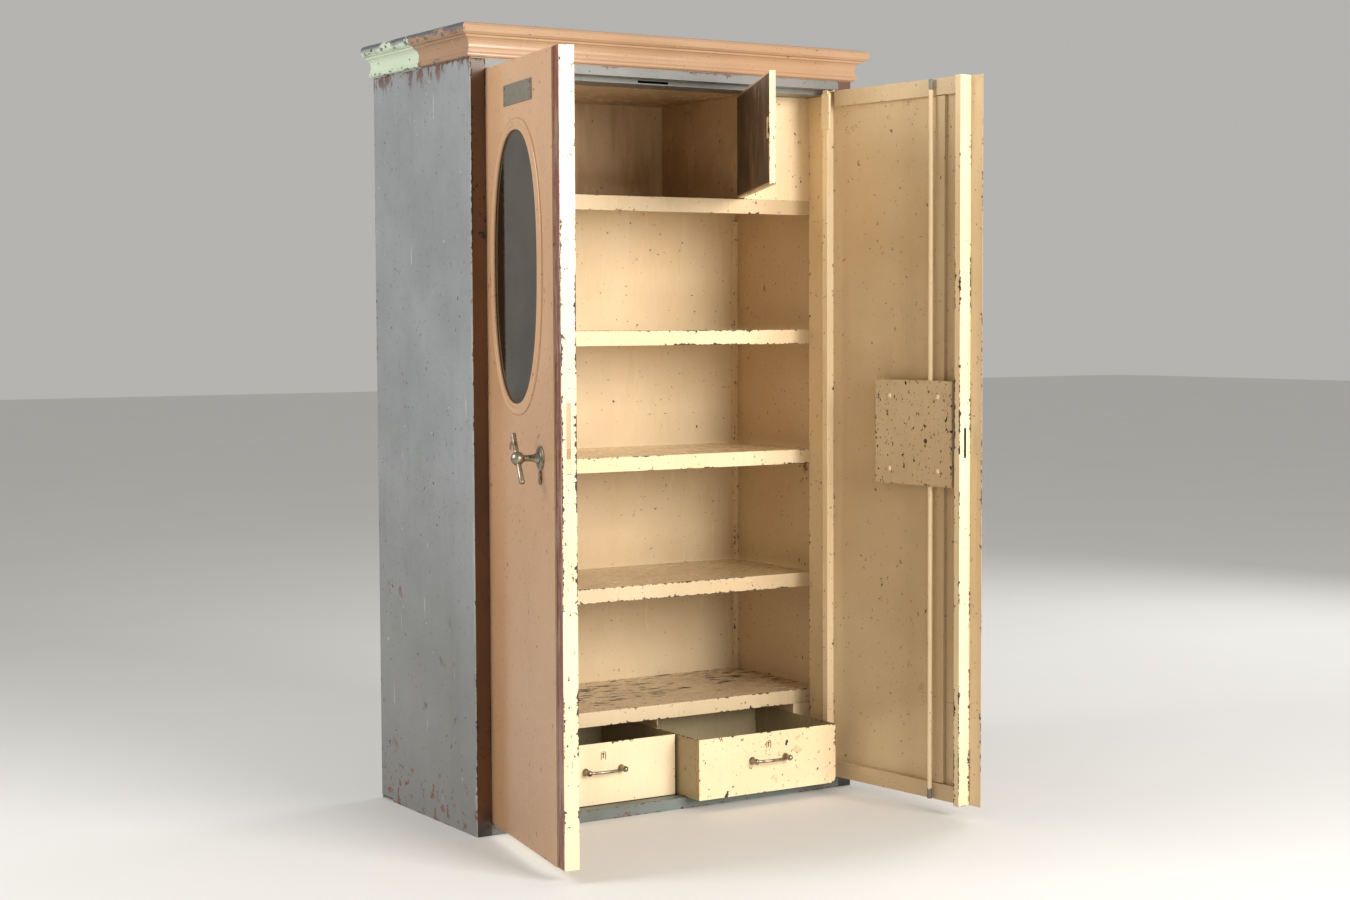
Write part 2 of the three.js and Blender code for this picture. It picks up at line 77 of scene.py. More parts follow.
# The left door's rebate starts this far from the hinge axis. Its outside lies in front of the first
# plane, and its inside behind the second.
REBATE_X = 471.2 * MM
REBATE_OUTER_Y = (3.6 - AXIS_INSET) * MM
REBATE_INNER_Y = (4.6 - AXIS_INSET) * MM
# Heights above the floor.
LOCKER_FLOOR_Z = 1.505
ROD_MIDDLE_Z = (DOOR_BOTTOM + DOOR_TOP) / 2 * MM

CAMERA = dict(at=(-2.866, -4.859, 1.202), yaw=32.03, pitch=-3.35, roll=-0.25, lens=59.5)


# ------------------------------------------------------------------ places
class Place:
    """A piece's own straight frame: x across, y inwards, z up, all in metres.

    angle is how far it is turned about Z in the shared frame at rest.
    """

    def __init__(self, body, origin=(0, 0, 0), angle=0.0):
        self.body = body
        self.origin = Vector(origin)
        self.angle = angle
        self.to_shared = Matrix.Translation(self.origin) @ Matrix.Rotation(angle, 4, "Z")
        self.to_local = self.to_shared.inverted()


def hinged(body, joint_name, turn):
    """The shut frame of a leaf that is modelled open; its joint's low limit is shut."""
    joint = JOINTS[joint_name]
    x, y, _ = joint["pos_m"]
    return Place(body, (x, y, 0), turn * math.radians(-joint["range_deg"][0]))


CARCASS = Place("carcass")
LEFT = hinged("left_door", "left_door_hinge", -1)
RIGHT = hinged("right_door", "right_door_hinge", 1)
LOCKER = hinged("locker_leaf", "locker_door_hinge", 1)
PLACES = {
    "left_door": LEFT, "left_handle": LEFT, "left_cover": LEFT,
    "right_door": RIGHT, "right_handle": RIGHT, "upper_lock_rod": RIGHT,
    "lower_lock_rod": RIGHT, "latch": RIGHT, "locker_leaf": LOCKER,
}


def place_of(node):
    return PLACES.get(BODY_OF[node], CARCASS)


def local_box(node):
    """Lowest and highest corners of a CAD node in its own straight frame."""
    obj = NODES[node]
    place = place_of(node)
    points = [place.to_local @ (obj.matrix_world @ v.co) for v in obj.data.vertices]
    low = Vector(min(p[i] for p in points) for i in range(3))
    high = Vector(max(p[i] for p in points) for i in range(3))
    return low, high


def centre_of(node):
    low, high = local_box(node)
    return (low + high) / 2


def door_point(place, u, y, z):
    """A point on a door from its hinge edge, its outer face and the floor, in millimetres."""
    sign = -1 if place is LEFT else 1
    return Vector((-sign * (u - AXIS_INSET), y - AXIS_INSET, z)) * MM


# ------------------------------------------------------------------ colours
def srgb(red, green, blue):
    """0-255 screen colour to linear RGBA."""
    def linear(c):
        c /= 255
        return c / 12.92 if c <= 0.04045 else ((c + 0.055) / 1.055) ** 2.4
    return (linear(red), linear(green), linear(blue), 1.0)


def scaled(colour, factor):
    return tuple(c * factor for c in colour[:3]) + (1.0,)


BLACK = srgb(38, 36, 36)
PRIMER = srgb(116, 60, 42)
STEEL_CHIP = srgb(74, 76, 80)

# Each paint: its two tones, the colour in a chip, the rim round it, and how rough the paint is.
# The paint after "cream" is the same cream darkened as painted shade, for pieces that these lights would otherwise
# show too bright.
ENAMEL = {
    "cream": dict(base=srgb(238, 216, 178), tone=srgb(230, 204, 162), chip=BLACK,
                  rim=srgb(120, 92, 62), rough=0.26),
    "shaded_cream": dict(base=srgb(214, 192, 156), tone=srgb(204, 178, 140), chip=BLACK,
                 rim=srgb(112, 84, 56), rough=0.27),
    # The next paint darkens the locker inside: partly painted shade under the header, partly dirtier paint.
    "dim": dict(base=srgb(208, 178, 136), tone=srgb(166, 134, 96), chip=BLACK,
                rim=srgb(96, 70, 48), rough=0.24),
    "tan": dict(base=srgb(198, 157, 120), tone=srgb(188, 146, 109), chip=STEEL_CHIP,
                rim=PRIMER, rough=0.22),
    "cornice": dict(base=srgb(186, 150, 117), tone=srgb(174, 138, 106), chip=STEEL_CHIP,
                    rim=PRIMER, rough=0.22),
    "grey": dict(base=srgb(146, 149, 151), tone=srgb(128, 131, 132), chip=srgb(52, 50, 50),
                 rim=PRIMER, rough=0.42),
    # The next paint is the posts' tan darkened to brown: painted shade beside the open doors.
    "shaded_tan": dict(base=srgb(108, 72, 45), tone=srgb(84, 54, 36), chip=BLACK,
                  rim=srgb(80, 46, 30), rough=0.36),
    "header": dict(base=srgb(126, 126, 122), tone=srgb(112, 110, 104), chip=STEEL_CHIP,
                   rim=PRIMER, rough=0.4),
    "threshold": dict(base=srgb(112, 120, 114), tone=srgb(84, 84, 76), chip=BLACK,
                      rim=PRIMER, rough=0.5),
}
# Each metal: its clean colour and its tarnish.
METALS = {
    "aged_nickel": (srgb(160, 150, 132), srgb(96, 82, 64)),
    "bare_steel": (srgb(168, 164, 156), srgb(104, 96, 86)),
}


# ------------------------------------------------------------------ shader helpers
class Graph:
    """A short way to write a material's node tree."""

    def __init__(self, name):
        self.material = bpy.data.materials.new(name)
        self.material.use_nodes = True
        self.tree = self.material.node_tree
        self.tree.nodes.clear()
        self.shader = self.tree.nodes.new("ShaderNodeBsdfPrincipled")
        output = self.tree.nodes.new("ShaderNodeOutputMaterial")
        self.tree.links.new(self.shader.outputs[0], output.inputs[0])

    def put(self, socket, value):
        if isinstance(value, bpy.types.NodeSocket):
            self.tree.links.new(value, socket)
        elif value is not None:
            socket.default_value = value

    def node(self, kind, inputs=(), **settings):
        node = self.tree.nodes.new(kind)
        for key, value in settings.items():
            setattr(node, key, value)
        for index, value in enumerate(inputs):
            self.put(node.inputs[index], value)
        return node

    def math(self, operation, a, b=None):
        return self.node("ShaderNodeMath", (a, b), operation=operation).outputs[0]

    def times(self, a, b):
        return self.math("MULTIPLY", a, b)

    def plus(self, a, b):
        return self.math("ADD", a, b)

    def minus(self, a, b):
        return self.math("SUBTRACT", a, b)

    def larger(self, a, b):
        return self.math("MAXIMUM", a, b)

    def smaller(self, a, b):
        return self.math("MINIMUM", a, b)

    def above(self, a, limit):
        return self.math("GREATER_THAN", a, limit)

    def below(self, a, limit):
        return self.math("LESS_THAN", a, limit)

    def split(self, vector):
        """The x, y and z of a vector."""
        return self.node("ShaderNodeSeparateXYZ", (vector,)).outputs

    def step(self, value, low, high):
        """0 below low, 1 above high, smooth between."""
        node = self.node("ShaderNodeMapRange", interpolation_type="SMOOTHSTEP")
        self.put(node.inputs["Value"], value)
        self.put(node.inputs["From Min"], low)
        self.put(node.inputs["From Max"], high)
        return node.outputs[0]

    def mix(self, factor, a, b):
        """A colour between a and b."""
        node = self.node("ShaderNodeMix", data_type="RGBA")
        self.put(node.inputs["Factor"], factor)
        self.put(node.inputs[6], a)
        self.put(node.inputs[7], b)
        return node.outputs[2]

    def blend(self, factor, a, b):
        """A number between a and b."""
        node = self.node("ShaderNodeMix", data_type="FLOAT")
        self.put(node.inputs["Factor"], factor)
        self.put(node.inputs[2], a)
        self.put(node.inputs[3], b)
        return node.outputs[0]

    def local(self, place):
        """Object coordinates turned into the piece's straight frame."""
        coords = self.node("ShaderNodeTexCoord").outputs["Object"]
        mapping = self.node("ShaderNodeMapping", (coords,), vector_type="TEXTURE")
        mapping.inputs["Location"].default_value = place.origin
        mapping.inputs["Rotation"].default_value = (0, 0, place.angle)
        return mapping.outputs[0]

    def stretch(self, coords, scale, turn=(0, 0, 0), shift=(0, 0, 0)):
        mapping = self.node("ShaderNodeMapping", (coords,), vector_type="POINT")
        mapping.inputs["Scale"].default_value = scale
        mapping.inputs["Rotation"].default_value = turn
        mapping.inputs["Location"].default_value = shift
        return mapping.outputs[0]

    def noise(self, coords, scale, detail=3.0, rough=0.55, distortion=0.0):
        node = self.node("ShaderNodeTexNoise")
        self.put(node.inputs["Vector"], coords)
        self.put(node.inputs["Scale"], scale)
        self.put(node.inputs["Detail"], detail)
        self.put(node.inputs["Roughness"], rough)
        self.put(node.inputs["Distortion"], distortion)
        return node.outputs[0]

    def bump(self, height, strength, distance, normal=None):
        node = self.node("ShaderNodeBump")
        self.put(node.inputs["Strength"], strength)
        self.put(node.inputs["Distance"], distance)
        self.put(node.inputs["Height"], height)
        self.put(node.inputs["Normal"], normal)
        return node.outputs[0]

    def finish(self, **sockets):
        for key, value in sockets.items():
            self.put(self.shader.inputs[key.replace("_", " ")], value)
        return self.material


# A piece no thicker than this has no edge worn across its thickness.
THIN_SIDE = 9 * MM


def edge_distance(g, coords, low, high):
    """Metres from the nearest edge of the piece's box; thin sides don't count."""
    position = g.split(coords)
    gaps = []
    for axis in range(3):
        if high[axis] - low[axis] > THIN_SIDE:
            up = g.minus(position[axis], low[axis])
            down = g.minus(high[axis], position[axis])
            gaps.append(g.smaller(up, down))
    if len(gaps) < 3:
        nearest = gaps[0]
        for gap in gaps[1:]:
            nearest = g.smaller(nearest, gap)
        return g.larger(nearest, 0.0)
    # On a box the surface itself is one side, so the edge is the second nearest.
    a, b, c = gaps
    second = g.larger(g.smaller(a, b), g.smaller(g.larger(a, b), c))
    return g.larger(second, 0.0)


# ------------------------------------------------------------------ paint
def paint_tone(g, at, kind):
    """A paint's slow drift between its two tones."""
    look = ENAMEL[kind]
    return g.mix(g.step(g.noise(at, 1.7, 4.0, 0.6), 0.36, 0.66), look["base"], look["tone"])


def edge_chips(g, at, edge, edges, rust):
    """Chips and their rims: noise against a threshold that drops near an edge."""
    reach = 3.2 * MM
    clumps = g.noise(at, 6.0, 2.0)
    coarse = g.noise(at, 85.0, 4.0, 0.62, 0.4)
    near = g.math("POWER", math.e, g.times(edge, -1 / reach))
    spread = g.times(near, g.times(g.step(clumps, 0.40, 0.62), 0.17 * edges))
    over = g.minus(coarse, g.minus(0.70, spread))
    return g.step(over, 0.0, 0.012), g.step(over, -0.035 - 0.03 * rust, -0.002)


def stray_chips(g, at, crowd):
    """Torn spots of two sizes, more of them where crowd is higher."""
    chips = 0.0
    for scale, rarity in (((34, 34, 22), 0.745), ((120, 120, 80), 0.735)):
        blot = g.noise(g.stretch(at, scale), 1.0, 4.0, 0.58)
        chips = g.larger(chips, g.step(g.plus(blot, crowd), rarity, rarity + 0.008))
    return chips


def scratch_lines(g, at):
    """Noise drawn out along one direction, in two slants."""
    lines = 0.0
    for turn, scale in (((0.3, 0.5, 0.2), (7, 300, 300)), ((1.2, 0.2, -0.7), (300, 9, 300))):
        streak = g.noise(g.stretch(at, scale, turn), 1.0, 1.0)
        lines = g.larger(lines, g.step(streak, 0.775, 0.80))
    return lines


def worn_foot(g, at, here, colour, foot_z, amount, rim):
    """Rubbed patches near a piece's foot."""
    lowness = g.step(g.split(here)[2], foot_z + 0.16, foot_z)
    rubbed = g.plus(g.noise(at, 30.0, 5.0, 0.65), g.times(lowness, 0.13 * amount))
    patch = g.times(g.step(rubbed, 0.60, 0.66), g.step(lowness, 0.0, 0.3))
    return g.mix(patch, colour, rim)


def enamel(name, kind, place, low, high, specks=1.0, edges=1.0, scratches=0.5, rust=0.3, seed=0.0,
           wear_low=0.0, everywhere=0.0, extra=None):
    """Old gloss paint on sheet steel, with wear where the piece's own box says its edges are.

    specks: stray chips. edges: chips along the edges. scratches: fine lines. rust: primer and rust
    round the chips. wear_low: extra wear near the piece's foot. everywhere: how crowded the stray
    chips are away from their clusters. extra: a further colour and wear function.
    """
    look = ENAMEL[kind]
    g = Graph(name)
    here = g.local(place)
    at = g.stretch(here, (1, 1, 1), shift=(seed * 1.37, seed * 0.71, seed * 2.13))

    cluster = g.larger(g.step(g.noise(at, 3.1, 3.0), 0.53, 0.66), everywhere)
    chips, rims = edge_chips(g, at, edge_distance(g, here, low, high), edges, rust)
    chips = g.larger(chips, stray_chips(g, at, g.times(cluster, 0.062 * specks)))
    lines = g.times(scratch_lines(g, at), g.times(cluster, scratches))
    damage = g.larger(chips, g.times(lines, 0.8))

    # Colour: slow drift and faint vertical grime, then the piece's own zones, rust, rims and bare spots.
    colour = paint_tone(g, at, kind)
    grime = g.noise(g.stretch(at, (9, 9, 1.1)), 1.0, 6.0, 0.6)
    colour = g.mix(g.times(g.step(grime, 0.50, 0.78), 0.16), colour, scaled(look["tone"], 0.6))
    if extra:
        colour, damage = extra(g, at, here, colour, damage)
    if wear_low:
        colour = worn_foot(g, at, here, colour, low.z, wear_low, look["rim"])
    rusty = g.times(g.noise(at, 13.0, 5.0, 0.7), g.step(cluster, 0.2, 0.9))
    rusty = g.step(rusty, 0.64 - 0.05 * rust, 0.67)
    colour = g.mix(g.times(rusty, min(rust, 1.0)), colour, look["rim"])
    colour = g.mix(g.times(rims, 0.85), colour, look["rim"])
    bare = g.mix(g.step(g.noise(at, 400.0, 2.0), 0.45, 0.60), look["chip"], scaled(look["chip"], 1.9))
    colour = g.mix(damage, colour, bare)
    roughness = g.blend(g.step(grime, 0.45, 0.8), look["rough"], look["rough"] + 0.16)
    roughness = g.blend(damage, roughness, 0.72)

    # Relief: panel waviness, brushed-on paint, and chips cut into it.
    wavy = g.bump(g.noise(at, 3.2, 1.0), 0.28, 0.010)
    skin = g.bump(g.noise(at, 420.0, 2.0), 0.05, 0.0006, wavy)
    surface = g.minus(1.0, g.larger(damage, g.times(rims, 0.3)))
    cut = g.bump(surface, 0.55, 0.0006, skin)
    return g.finish(Base_Color=colour, Roughness=roughness, Normal=cut, IOR=1.5)


# ------------------------------------------------------------------ metals and mirror
def metal(name, base, dark, place, rough=0.30, pits=1.0, seed=0.0, dulled=0.22):
    """Worn plating or bare drawn steel: tarnish, pits and fine rubbing marks.

    dulled is how much rougher the tarnished spots are than the clean ones.
    """
    g = Graph(name)
    here = g.local(place)
    at = g.stretch(here, (1, 1, 1), shift=(seed, seed * 0.6, seed * 1.9))
    tarnish = g.step(g.noise(at, 70.0, 5.0, 0.65), 0.42, 0.68)
    pit = g.step(g.noise(at, 520.0, 3.0, 0.6), 0.66, 0.72)
    rub = g.noise(g.stretch(at, (900, 900, 60)), 1.0, 2.0)
    colour = g.mix(tarnish, base, dark)
    colour = g.mix(g.times(pit, 0.7 * pits), colour, srgb(58, 44, 34))
    roughness = g.blend(tarnish, rough, rough + dulled)
    roughness = g.plus(roughness, g.times(rub, 0.08))
    height = g.minus(g.times(rub, 0.2), pit)
    return g.finish(Base_Color=colour, Roughness=roughness, Metallic=0.92,
                    Normal=g.bump(height, 0.25, 0.0003))


def old_mirror(name, place, low, high):
    """Tinted silvering that has gone at the rim and in small spots."""
    g = Graph(name)
    here = g.local(place)
    edge = edge_distance(g, here, low, high)
    bloom = g.noise(here, 16.0, 6.0, 0.68)
    spots = g.step(g.noise(here, 130.0, 4.0, 0.6), 0.64, 0.70)
    rim = g.step(g.plus(g.times(edge, -9.0), bloom), 0.30, 0.62)
    loss = g.larger(g.times(spots, g.step(bloom, 0.5, 0.62)), g.times(rim, 0.6))
    colour = g.mix(g.step(g.noise(here, 5.0, 4.0), 0.4, 0.65), srgb(98, 88, 72), srgb(76, 68, 54))
    colour = g.mix(loss, colour, srgb(46, 38, 30))
    return g.finish(Base_Color=colour, Metallic=g.blend(loss, 0.95, 0.35),
                    Roughness=g.blend(loss, 0.07, 0.5),
                    Normal=g.bump(g.noise(here, 2.4, 1.0), 0.12, 0.01))


def scraped_liner(name, place, low, high):
    """Dark brown paint scraped through to cream in upright streaks."""
    g = Graph(name)
    here = g.local(place)
    edge = edge_distance(g, here, low, high)
    streak = g.noise(g.stretch(here, (150, 150, 9)), 1.0, 5.0, 0.68)
    fine = g.noise(g.stretch(here, (420, 420, 26)), 1.0, 3.0, 0.6)
    scraped = g.step(g.plus(g.times(streak, 0.7), g.times(fine, 0.3)), 0.52, 0.60)
    dark = g.mix(g.noise(here, 34.0, 4.0), srgb(38, 27, 22), srgb(76, 52, 36))
    colour = g.mix(g.times(scraped, 0.75), dark, srgb(176, 142, 104))
    colour = g.mix(g.step(edge, 5 * MM, 2 * MM), colour, srgb(206, 178, 134))
    return g.finish(Base_Color=colour, Roughness=g.blend(scraped, 0.42, 0.6),
                    Normal=g.bump(scraped, 0.4, 0.0005))


# ------------------------------------------------------------------ colour zones on single pieces
def cornice_left_zones(g, at, here, colour, damage):
    """Dull tan, pale green at the rear, and a top roll that has lost most of its paint."""
    y, z = g.split(here)[1:3]
    colour = g.mix(0.55, colour, srgb(150, 116, 88))
    ragged = g.plus(y, g.times(g.noise(at, 18.0, 4.0), 0.09))
    green = g.mix(g.noise(at, 5.0, 3.0), srgb(202, 213, 192), srgb(188, 202, 176))
    colour = g.mix(g.step(ragged, 0.030, 0.036), colour, green)
    height = g.step(z, 1.852, 1.872)
    worn = g.plus(g.noise(g.stretch(at, (22, 10, 30)), 1.0, 6.0, 0.72), g.times(height, 0.12))
    damage = g.larger(damage, g.times(g.step(worn, 0.56, 0.585), height))
    torn = g.step(g.noise(g.stretch(at, (70, 48, 95)), 1.0, 4.0, 0.6), 0.565, 0.58)
    rolls = g.larger(g.step(z, 1.816, 1.806), g.step(z, 1.846, 1.860))
    return colour, g.larger(damage, g.times(torn, rolls))


def scuffed_top(g, at, here, colour, damage):
    """Long dark scuffs left and right on a shelf that things were dragged over."""
    flat = g.noise(g.stretch(at, (15, 62, 62), (0, 0, 0.06)), 1.0, 6.0, 0.7, 0.3)
    normal = g.node("ShaderNodeNewGeometry").outputs["Normal"]
    upward = g.step(g.split(normal)[2], 0.7, 0.9)
    where = g.times(g.step(g.noise(at, 4.0, 2.0), 0.42, 0.55), 0.10)
    scuffs = g.times(g.step(g.plus(flat, where), 0.645, 0.655), upward)
    return colour, g.larger(damage, scuffs)


def darker_upwards(g, at, here, colour, damage):
    """Darker paint up the left door's edge, where the key light is strongest on it."""
    z = g.split(here)[2]
    return g.mix(g.step(z, 0.4, 1.2), colour, paint_tone(g, at, "shaded_cream")), damage


def door_outside(g, here, colour):
    """Tan darkened towards the foot as painted shade, and paler at the top as a painted highlight."""
    z = g.split(here)[2]
    colour = g.mix(g.times(g.step(z, 1.35, 0.2), 0.3), colour, srgb(146, 112, 80))
    return g.mix(g.times(g.step(z, 1.3, 1.75), 0.3), colour, srgb(214, 174, 136))


def right_skin_zones(g, at, here, colour, damage):
    """Tan outside, with its painted shade and highlight; cream darkened as painted shade on the face that points
    into the cupboard.
    """
    inside = g.above(g.split(here)[1], SKIN_Y)
    return g.mix(inside, door_outside(g, here, colour), paint_tone(g, at, "shaded_cream")), damage


def left_skin_zones(g, at, here, colour, damage):
    """As the right skin, with a scraped rebate that the other door laps over."""
    x, y = g.split(here)[:2]
    beyond = g.above(g.math("ABSOLUTE", x), REBATE_X)
    streaks = g.step(g.noise(g.stretch(at, (60, 60, 8)), 1.0, 5.0, 0.7), 0.46, 0.56)
    scraped = g.mix(streaks, srgb(112, 54, 40), srgb(140, 104, 88))
    rebate = g.times(beyond, g.below(y, REBATE_OUTER_Y))
    colour = g.mix(rebate, door_outside(g, here, colour), scraped)
    # Inside, and behind the skin away from the rebate: cream darkened as painted shade.
    behind_skin = g.times(g.above(y, SKIN_Y), g.minus(1.0, beyond))
    inside = g.larger(g.above(y, REBATE_INNER_Y), behind_skin)
    return g.mix(inside, colour, paint_tone(g, at, "shaded_cream")), damage


def post_zones(g, at, here, colour, damage):
    """Brown on the front, which is tan darkened as painted shade beside the open door; black at the foot; cream
    round the jamb.
    """
    y, z = g.split(here)[1:3]
    foot = g.step(g.plus(z, g.times(g.noise(at, 20.0, 4.0), 0.08)), 0.12, 0.05)
    colour = g.mix(foot, colour, srgb(44, 36, 32))
    return g.mix(g.above(y, POST_SHEET_Y), colour, paint_tone(g, at, "cream")), damage


def steel_tips(g, at, here, colour, damage):
    """Lock rods are painted, but their ends have rubbed bare in the frame."""
    from_middle = g.math("ABSOLUTE", g.minus(g.split(here)[2], ROD_MIDDLE_Z))
    ragged = g.plus(from_middle, g.times(g.noise(at, 90.0, 3.0), 0.012))
    return g.mix(g.step(ragged, 0.851, 0.854), colour, srgb(120, 112, 102)), damage


def back_zones(g, at, here, colour, damage):
    """Toned darker towards the floor as painted shade, browner inside the locker (partly painted shade, partly
    dirtier paint), and grey outside.
    """
    y, z = g.split(here)[1:3]
    # Inside the locker: darker blotched tones, partly painted shade under the header and partly dirtier paint.
    dirt_and_shade = g.step(g.noise(g.stretch(at, (14, 14, 2)), 1.0, 5.0, 0.6), 0.4, 0.66)
    in_locker = g.mix(dirt_and_shade, srgb(226, 196, 154), srgb(196, 164, 122))
    # Painted shade: darker towards the floor.
    colour = g.mix(g.step(z, 1.5, 0.5), colour, paint_tone(g, at, "shaded_cream"))
    colour = g.mix(g.above(z, LOCKER_FLOOR_Z), colour, in_locker)
    outside = g.mix(g.noise(at, 4.0, 5.0, 0.65), ENAMEL["grey"]["base"], ENAMEL["grey"]["tone"])
    return g.mix(g.above(y, BACK_SHEET_Y), colour, outside), damage


def drawer_zones(node):
    """Cream front; khaki sides and inside that were never finished."""
    behind_face = local_box(node)[0].y + DRAWER_FACE_DEPTH

    def zones(g, at, here, colour, damage):
        khaki = g.mix(g.noise(at, 6.0, 4.0), srgb(186, 168, 132), srgb(150, 136, 104))
        return g.mix(g.above(g.split(here)[1], behind_face), colour, khaki), damage
    return zones


def side_zones(g, at, here, colour, damage):
    """Primer along the top, worn patches low down, painted shade darker towards the floor, a painted highlight
    along the front edge, a few pale scrapes, and cream darkened as painted shade inside.
    """
    x, y, z = g.split(here)
    top = g.step(z, 1.73, 1.80)
    drips = g.noise(g.stretch(at, (38, 38, 15)), 1.0, 6.0, 0.72)
    top_wear = g.times(g.step(g.plus(drips, g.times(top, 0.13)), 0.62, 0.65), top)
    low_wear = g.times(g.step(g.noise(at, 17.0, 6.0, 0.7), 0.63, 0.66), g.step(z, 0.62, 0.30))
    # Painted shade: darker towards the floor.
    colour = g.mix(g.times(g.step(z, 1.0, 0.1), 0.55), colour, srgb(112, 110, 104))
    colour = g.mix(g.larger(top_wear, g.times(low_wear, 0.85)), colour, srgb(98, 72, 66))

    pale = g.step(g.noise(g.stretch(at, (60, 60, 5), (0.1, 0, 0)), 1.0, 3.0), 0.70, 0.735)
    colour = g.mix(g.times(pale, 0.45), colour, srgb(196, 196, 190))
    mottle = g.step(g.noise(at, 52.0, 5.0, 0.7), 0.5, 0.75)
    colour = g.mix(g.times(mottle, 0.30), colour, srgb(108, 108, 106))
    # Painted highlight: a pale ragged band along the front edge.
    ragged = g.plus(y, g.times(g.noise(g.stretch(at, (40, 40, 12)), 1.0, 5.0, 0.7), 0.03))
    colour = g.mix(g.times(g.step(ragged, -0.242, -0.248), 0.55), colour, srgb(186, 178, 170))
    smear = g.step(g.noise(g.stretch(at, (9, 30, 44), (0.35, 0, 0)), 1.0, 4.0), 0.70, 0.74)
    colour = g.mix(g.times(smear, 0.5), colour, srgb(206, 200, 184))

    pits = g.step(g.noise(g.stretch(at, (75, 75, 50)), 1.0, 3.0, 0.6), 0.715, 0.725)
    # Inside: cream darkened as painted shade.
    inside = g.below(g.math("ABSOLUTE", x), SIDE_SHEET_X)
    return g.mix(inside, colour, paint_tone(g, at, "shaded_cream")), g.larger(damage, pits)


# ------------------------------------------------------------------ mesh helpers
def shade(obj, degrees):
    """Smooth shading, with edges sharper than the given angle kept sharp."""
    for polygon in obj.data.polygons:
        polygon.use_smooth = True
    obj.data.set_sharp_from_angle(angle=math.radians(degrees))


def build(name, mesh, place, material, body=None, smooth=35.0, replaces=()):
    """Puts a mesh drawn in a straight frame into the shared frame, and lets it ride."""
    mesh.transform(place.to_shared)
    obj = bpy.data.objects.new(name, mesh)
    bpy.context.scene.collection.objects.link(obj)
    obj.data.materials.append(material)
    shade(obj, smooth)
    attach(obj, body or place.body)
    if replaces:
        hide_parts(*replaces)
    return obj


def mesh_from(name, points, faces):
    mesh = bpy.data.meshes.new(name)
    mesh.from_pydata([tuple(p) for p in points], [], faces)
    work = bmesh.new()
    work.from_mesh(mesh)
    bmesh.ops.recalc_face_normals(work, faces=work.faces)
    work.to_mesh(mesh)
    work.free()
    return mesh


def mesh_box(name, low, high):
    points = [(x, y, z) for x in (low[0], high[0]) for y in (low[1], high[1]) for z in (low[2], high[2])]
    faces = [(0, 1, 3, 2), (4, 6, 7, 5), (0, 4, 5, 1), (2, 3, 7, 6), (0, 2, 6, 4), (1, 5, 7, 3)]
    return mesh_from(name, points, faces)


def join_meshes(name, meshes):
    work = bmesh.new()
    for mesh in meshes:
        work.from_mesh(mesh)
    joined = bpy.data.meshes.new(name)
    work.to_mesh(joined)
    work.free()
    return joined


def ring_points(centre, side, other, radius, count):
    """Points evenly round a circle."""
    points = []
    for i in range(count):
        a = 2 * math.pi * i / count
        points.append(centre + side * (radius * math.cos(a)) + other * (radius * math.sin(a)))
    return points


def lathe(name, profile, start, axis, count=40):
    """A closed turned body: profile is (along, radius) pairs in millimetres from start along axis."""
    axis = Vector(axis).normalized()
    side = axis.orthogonal().normalized()
    other = axis.cross(side)
    points, faces, rings = [], [], []
    for along, radius in profile:
        centre = Vector(start) + axis * (along * MM)
        ring = ring_points(centre, side, other, radius * MM, count) if radius > 0 else [centre]
        rings.append(range(len(points), len(points) + len(ring)))
        points += ring
    for first, second in zip(rings, rings[1:]):
        for i in range(count):
            j = (i + 1) % count
            if len(first) == 1 and len(second) == 1:
                continue
            if len(first) == 1:
                faces.append((first[0], second[i], second[j]))
            elif len(second) == 1:
                faces.append((first[i], second[0], first[j]))
            else:
                faces.append((first[i], second[i], second[j], first[j]))
    for ring in (rings[0], rings[-1]):
        if len(ring) > 1:
            faces.append(tuple(ring))
    return mesh_from(name, points, faces)


def tube(name, path, radius, count=14):
    """A round bar along a path in metres, closed at both ends."""
    points, faces = [], []
    path = [Vector(p) for p in path]
    for i, centre in enumerate(path):
        along = (path[min(i + 1, len(path) - 1)] - path[max(i - 1, 0)]).normalized()
        across = Vector((0, 0, 1)) if abs(along.z) < 0.9 else Vector((1, 0, 0))
        side = along.cross(across).normalized()
        points += ring_points(centre, side, along.cross(side), radius, count)
    for i in range(len(path) - 1):
        for k in range(count):
            j = (k + 1) % count
            faces.append((i * count + k, i * count + j, (i + 1) * count + j, (i + 1) * count + k))
    faces.append(tuple(range(count)))
    faces.append(tuple(range(len(points) - count, len(points))))
    return mesh_from(name, points, faces)


def arc(centre, radius, start, end, steps):
    """(along, radius) pairs round part of a circle, for a lathe profile."""
    pairs = []
    for i in range(steps + 1):
        a = math.radians(start + (end - start) * i / steps)
        pairs.append((centre + radius * math.cos(a), max(radius * math.sin(a), 0)))
    return pairs


def carve(obj, *tools):
    """Cuts closed tool meshes out of an object, for good."""
    for tool in tools:
        cutter = bpy.data.objects.new("cutter", tool)
        bpy.context.scene.collection.objects.link(cutter)
        modifier = obj.modifiers.new("cut", "BOOLEAN")
        modifier.operation = "DIFFERENCE"
        modifier.solver = "EXACT"
        modifier.object = cutter
        bpy.context.view_layer.update()
        evaluated = obj.evaluated_get(bpy.context.evaluated_depsgraph_get())
        shaped = bpy.data.meshes.new_from_object(evaluated)
        obj.modifiers.clear()
        obj.data = shaped
        bpy.data.objects.remove(cutter)


def soften(obj, width):
    """Fine rounded edges."""
    modifier = obj.modifiers.new("soft edges", "BEVEL")
    modifier.width = width
    modifier.segments = 2
    modifier.limit_method = "ANGLE"
    modifier.angle_limit = math.radians(40)
    modifier.harden_normals = True
    shade(obj, 35.0)


